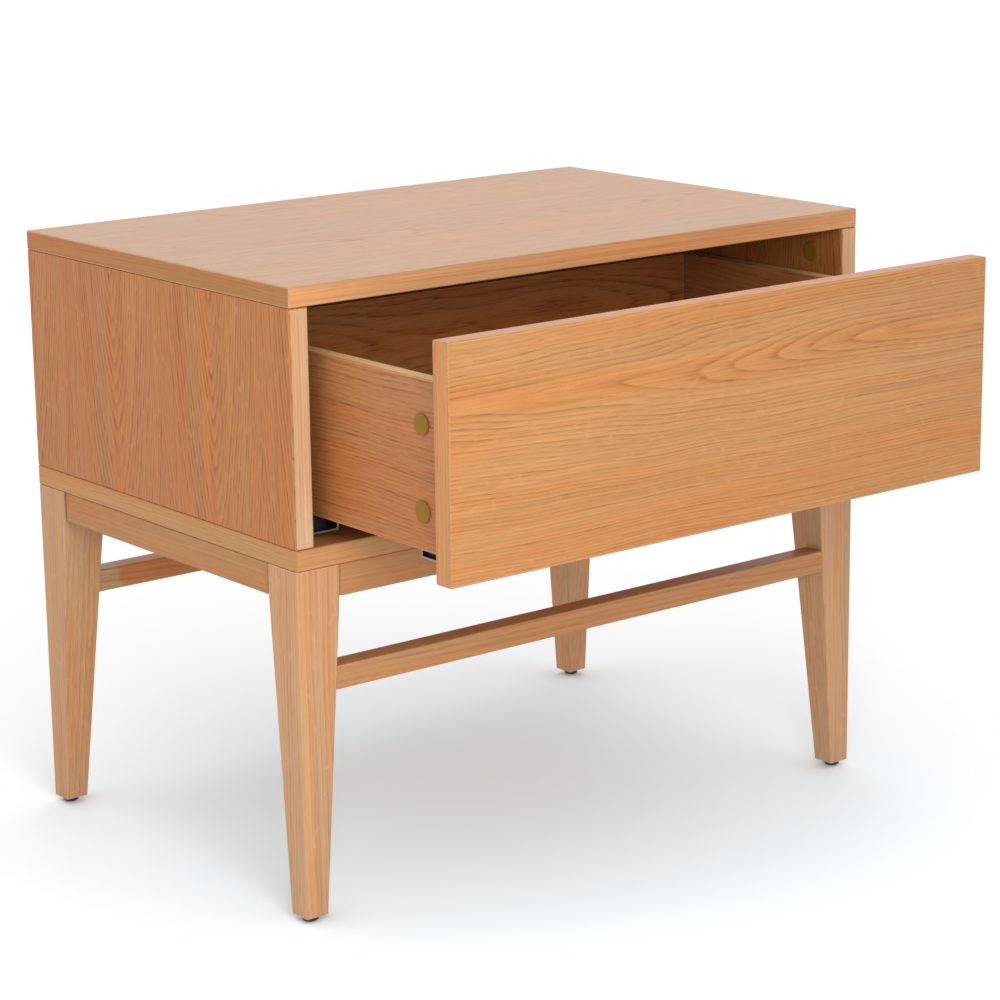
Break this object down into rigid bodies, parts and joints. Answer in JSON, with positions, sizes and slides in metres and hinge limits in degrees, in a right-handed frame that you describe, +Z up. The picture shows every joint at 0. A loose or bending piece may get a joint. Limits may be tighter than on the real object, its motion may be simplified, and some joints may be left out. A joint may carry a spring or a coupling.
{
  "type": "nightstand",
  "caption": "Oak bedside table: a veneered board box with an inset drawer that slides on undermount runners, on a tapered leg frame with aprons and stretchers.",
  "frame": {"origin": "on the floor, under the middle of the whole object as it stands with its drawer part-way open", "axes": "+X to the object's right seen from the front, +Y to its back, +Z up; the drawer slides out towards -Y"},
  "size_m": [0.6, 0.559, 0.51],
  "materials": {
    "oak_top": "natural oak veneer under clear satin lacquer, straight and cathedral grain along the width",
    "oak_side": "natural oak veneer under clear satin lacquer, upright cathedral grain, solid lipping on the front edge",
    "oak_front": "natural oak veneer under clear satin lacquer, cathedral grain along the width",
    "oak_solid": "solid oak under clear satin lacquer, straight grain along each piece",
    "oak_drawer": "oak veneered drawer box board, satin, straight grain",
    "oak_thin_board": "thin oak veneered board, matt",
    "block_wood": "plain softwood glue block, unfinished",
    "cap": "olive brown cover cap, satin",
    "glide": "black moulded glide",
    "zinc_steel": "bright zinc plated sheet steel",
    "cam_metal": "die cast zinc cam with its plated bolt",
    "screw_steel": "plated steel"
  },
  "bodies": {
    "carcass": {"apron_front": "oak_solid", "apron_left": "oak_solid", "apron_rear": "oak_solid", "apron_right": "oak_solid", "back_panel": "oak_thin_board", "bottom_panel": "oak_solid", "carcass_cam_front_left": "cam_metal", "carcass_cam_front_right": "cam_metal", "carcass_cam_rear_left": "cam_metal", "carcass_cam_rear_right": "cam_metal", "carcass_cap_front_left": "cap", "carcass_cap_front_right": "cap", "carcass_cap_rear_left": "cap", "carcass_cap_rear_right": "cap", "carcass_screw_front_left": "screw_steel", "carcass_screw_front_right": "screw_steel", "carcass_screw_rear_left": "screw_steel", "carcass_screw_rear_right": "screw_steel", "corner_block_front_left": "block_wood", "corner_block_front_right": "block_wood", "corner_block_rear_left": "block_wood", "corner_block_rear_right": "block_wood", "frame_screw_front_left": "screw_steel", "frame_screw_front_right": "screw_steel", "frame_screw_rear_left": "screw_steel", "frame_screw_rear_right": "screw_steel", "glide_front_left": "glide", "glide_front_right": "glide", "glide_rear_left": "glide", "glide_rear_right": "glide", "leg_front_left": "oak_solid", "leg_front_right": "oak_solid", "leg_rear_left": "oak_solid", "leg_rear_right": "oak_solid", "runner_rail_left": "zinc_steel", "runner_rail_right": "zinc_steel", "side_panel_left": "oak_side", "side_panel_right": "oak_side", "stretcher_front": "oak_solid", "stretcher_rear": "oak_solid", "top_panel": "oak_top"},
    "drawer": {"drawer_back": "oak_drawer", "drawer_bottom": "oak_thin_board", "drawer_cam_lower_left": "cam_metal", "drawer_cam_lower_right": "cam_metal", "drawer_cam_upper_left": "cam_metal", "drawer_cam_upper_right": "cam_metal", "drawer_cap_lower_left": "cap", "drawer_cap_lower_right": "cap", "drawer_cap_upper_left": "cap", "drawer_cap_upper_right": "cap", "drawer_catch_left": "zinc_steel", "drawer_catch_right": "zinc_steel", "drawer_front": "oak_front", "drawer_side_left": "oak_drawer", "drawer_side_right": "oak_drawer", "runner_carrier_left": "zinc_steel", "runner_carrier_right": "zinc_steel"},
    "slide_left": {"runner_slide_left": "zinc_steel"},
    "slide_right": {"runner_slide_right": "zinc_steel"}
  },
  "joints": [
    {"name": "drawer_slide", "type": "slide", "parent": "carcass", "child": "drawer", "axis": [0, -1, 0], "range_m": [-0.17, 0.13]},
    {"name": "slide_travel_left", "type": "slide", "parent": "carcass", "child": "slide_left", "axis": [0, -1, 0], "range_m": [-0.085, 0.065]},
    {"name": "slide_travel_right", "type": "slide", "parent": "carcass", "child": "slide_right", "axis": [0, -1, 0], "range_m": [-0.085, 0.065]}
  ],
  "couplings": [
    {"joint": "slide_travel_left", "follows": "drawer_slide", "ratio": 0.5},
    {"joint": "slide_travel_right", "follows": "drawer_slide", "ratio": 0.5}
  ]
}
